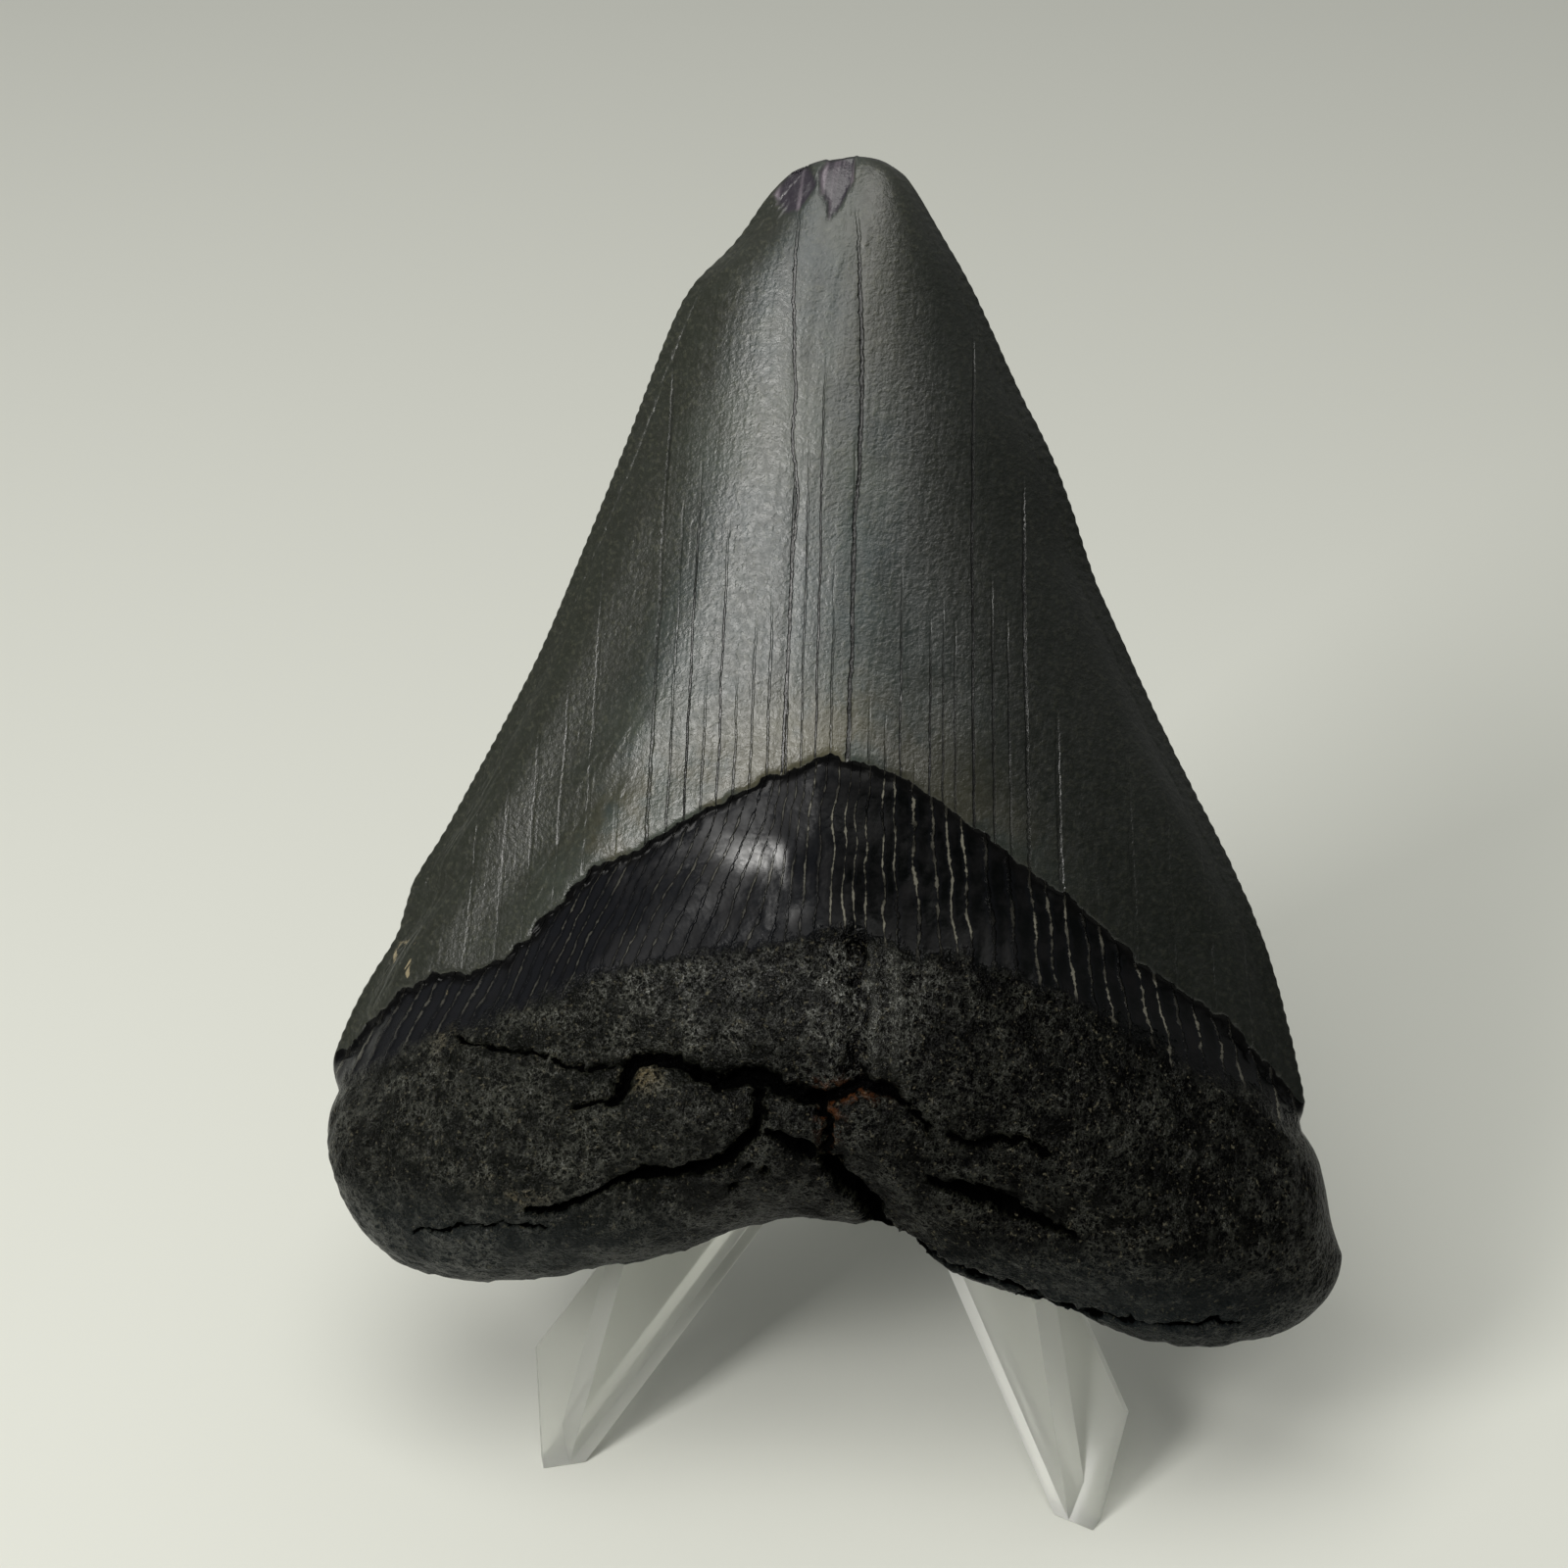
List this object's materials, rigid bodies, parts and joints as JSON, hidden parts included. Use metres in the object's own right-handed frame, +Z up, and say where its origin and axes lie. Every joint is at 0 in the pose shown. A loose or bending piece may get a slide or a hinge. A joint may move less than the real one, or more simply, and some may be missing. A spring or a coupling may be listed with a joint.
{
  "type": "fossil shark tooth on easel",
  "caption": "Large triangular fossil shark tooth, root down and leaning back on a small clear three-legged easel.",
  "frame": {"origin": "under the middle of the whole object's box, on the surface that the easel stands on", "axes": "+Z up, -Y to the front where the tooth's bulging side faces, +X to the viewer's right"},
  "size_m": [0.0887, 0.0558, 0.1031],
  "materials": {
    "fossil_tooth": "mineralised, satin enamel over a rough matt root",
    "clear_plastic": "clear moulded, lightly frosted"
  },
  "bodies": {
    "root": {"tooth": "fossil_tooth", "easel_stand": "clear_plastic"}
  },
  "joints": []
}
